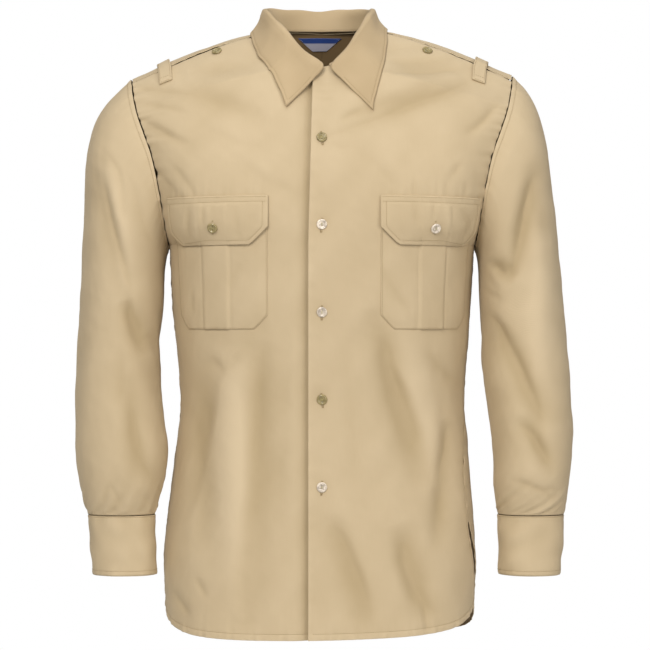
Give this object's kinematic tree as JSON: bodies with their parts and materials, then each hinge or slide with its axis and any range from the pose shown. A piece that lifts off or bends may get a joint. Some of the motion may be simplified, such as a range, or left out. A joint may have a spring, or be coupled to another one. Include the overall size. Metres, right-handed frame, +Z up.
{
  "type": "long-sleeved service shirt",
  "caption": "Long-sleeved button-front service shirt with flapped chest pockets, shoulder loops, a turned-down collar and rounded tails, filled out as worn.",
  "frame": {"origin": "midway between the shoulders at the height of the shoulder line beside the neck, where the wearer's shoulders hold the shirt up", "axes": "+Z up, -Y to the front, +X to the wearer's left"},
  "size_m": [0.6172, 0.2583, 0.7939],
  "materials": {
    "khaki_poplin": "plain-woven cotton and polyester poplin with a faint sheen",
    "label_satin": "woven satin label",
    "shirt_button": "polished cast polyester shirt button"
  },
  "bodies": {
    "root": {"front_left": "khaki_poplin", "front_right": "khaki_poplin", "back": "khaki_poplin", "yoke": "khaki_poplin", "collar": "khaki_poplin", "sleeve_left": "khaki_poplin", "sleeve_right": "khaki_poplin", "sleeve_placket_left": "khaki_poplin", "sleeve_placket_right": "khaki_poplin", "cuff_left": "khaki_poplin", "cuff_right": "khaki_poplin", "pocket_left": "khaki_poplin", "pocket_right": "khaki_poplin", "flap_left": "khaki_poplin", "flap_right": "khaki_poplin", "shoulder_loop_left": "khaki_poplin", "shoulder_loop_right": "khaki_poplin", "neck_label": "label_satin", "front_button_1": "shirt_button", "front_button_2": "shirt_button", "front_button_3": "shirt_button", "front_button_4": "shirt_button", "front_button_5": "shirt_button", "pocket_button_left": "shirt_button", "pocket_button_right": "shirt_button", "shoulder_button_left": "shirt_button", "shoulder_button_right": "shirt_button", "cuff_button_left": "shirt_button", "cuff_button_right": "shirt_button"}
  },
  "joints": []
}
